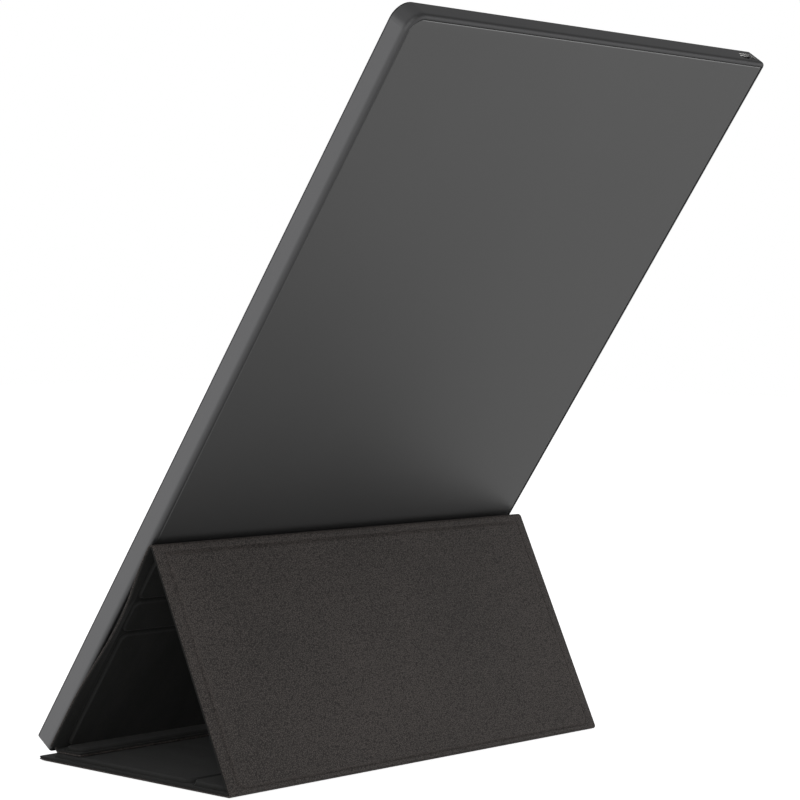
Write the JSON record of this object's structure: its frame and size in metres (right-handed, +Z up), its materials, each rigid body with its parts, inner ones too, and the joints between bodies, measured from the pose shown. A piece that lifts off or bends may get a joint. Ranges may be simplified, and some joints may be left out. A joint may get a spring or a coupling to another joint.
{
  "type": "portable monitor on a folding cover stand",
  "caption": "Slim portable display standing in portrait on its own three-panel leatherette cover, folded into a triangular stand, with a side port and press buttons.",
  "frame": {"origin": "centre of the base panel's flat underside, on the table", "axes": "+Z up, +Y towards the rear fold and the leather back of the stand, -Y towards the person who looks at the screen, +X across, along all the fold lines"},
  "size_m": [0.232, 0.2115, 0.3047],
  "materials": {
    "band_paint": "dark grey satin paint on aluminium",
    "back_paint": "dark grey matte paint on aluminium",
    "leather": "fine-grained leatherette, dark brownish grey",
    "lining": "napped microfibre lining, dark grey",
    "stiff_board": "pressed fibreboard stiffener",
    "magnet": "nickel-plated magnet",
    "steel_sheet": "stamped steel sheet",
    "frame_metal": "stamped aluminium sheet",
    "port_shell": "bright drawn steel",
    "black_plastic": "matte black plastic",
    "button_plastic": "satin dark grey plastic",
    "light_pipe": "clear polished plastic",
    "circuit_board": "green solder mask",
    "chip_plastic": "moulded chip package",
    "contact_gold": "gold-plated contact",
    "flex": "polyimide flexible circuit",
    "lamp_strip": "white circuit with phosphor lamps",
    "reflector_white": "white reflecting film",
    "light_guide_clear": "clear acrylic",
    "diffuser": "milky optical film",
    "screen_glass": "anti-glare coated display glass, dark",
    "screw_steel": "small machine screws"
  },
  "bodies": {
    "base_panel": {"base_skin": "leather", "base_board": "stiff_board", "base_strip_board": "stiff_board", "base_lining": "lining", "catch_strip": "steel_sheet", "rear_fold_leather": "leather"},
    "back_panel": {"back_skin": "leather", "back_board": "stiff_board", "back_lining": "lining", "ridge_fold_leather": "leather"},
    "support_panel": {"support_skin": "leather", "support_upper_board": "stiff_board", "support_middle_board": "stiff_board", "support_main_board": "stiff_board", "support_lining": "lining", "support_magnets": "magnet", "foot_fold_leather": "leather"},
    "foot_flap": {"flap_skin": "leather", "flap_board": "stiff_board", "flap_lining": "lining", "flap_magnets": "magnet"},
    "power_button": {"power_button": "button_plastic"},
    "menu_button": {"menu_button": "button_plastic"},
    "monitor": {"back_plate": "back_paint", "side_band": "band_paint", "hold_plates": "steel_sheet", "inner_frame": "frame_metal", "main_board": "circuit_board", "board_chips": "chip_plastic", "shield_can": "steel_sheet", "usb_c_receptacle": "port_shell", "usb_c_tongue": "black_plastic", "usb_c_contacts": "contact_gold", "side_switches": "steel_sheet", "status_light_pipe": "light_pipe", "board_screws": "screw_steel", "backlight_tray": "steel_sheet", "reflector_sheet": "reflector_white", "light_guide": "light_guide_clear", "led_strip": "lamp_strip", "diffuser_films": "diffuser", "lcd_glass": "screen_glass", "driver_board": "circuit_board", "display_cable": "flex", "frame_screws": "screw_steel", "front_bezel": "black_plastic"}
  },
  "joints": [
    {"name": "rear_fold", "type": "hinge", "parent": "base_panel", "child": "back_panel", "pos_m": [0, 0.05705, 0.0034], "axis": [1, 0, 0], "range_deg": [0, 60], "deforming": ["rear_fold_leather"]},
    {"name": "ridge_fold", "type": "hinge", "parent": "back_panel", "child": "support_panel", "pos_m": [0, 0.01354, 0.09255], "axis": [1, 0, 0], "range_deg": [-111.62, 0], "deforming": ["ridge_fold_leather"]},
    {"name": "foot_fold", "type": "hinge", "parent": "support_panel", "child": "foot_flap", "pos_m": [0, -0.04575, 0.0065], "axis": [1, 0, 0], "range_deg": [0, 51.62], "deforming": ["foot_fold_leather"]},
    {"name": "monitor_lift", "type": "slide", "parent": "support_panel", "child": "monitor", "axis": [0, -0.8234, 0.5674], "range_m": [0, 0.08]},
    {"name": "power_press", "type": "slide", "parent": "monitor", "child": "power_button", "axis": [1, 0, 0], "range_m": [0, 0.0004], "stiffness_N_per_m": 500},
    {"name": "menu_press", "type": "slide", "parent": "monitor", "child": "menu_button", "axis": [1, 0, 0], "range_m": [0, 0.0004], "stiffness_N_per_m": 500}
  ],
  "couplings": [
    {"joint": "ridge_fold", "follows": "rear_fold", "ratio": -1.86},
    {"joint": "foot_fold", "follows": "rear_fold", "ratio": 0.86}
  ]
}
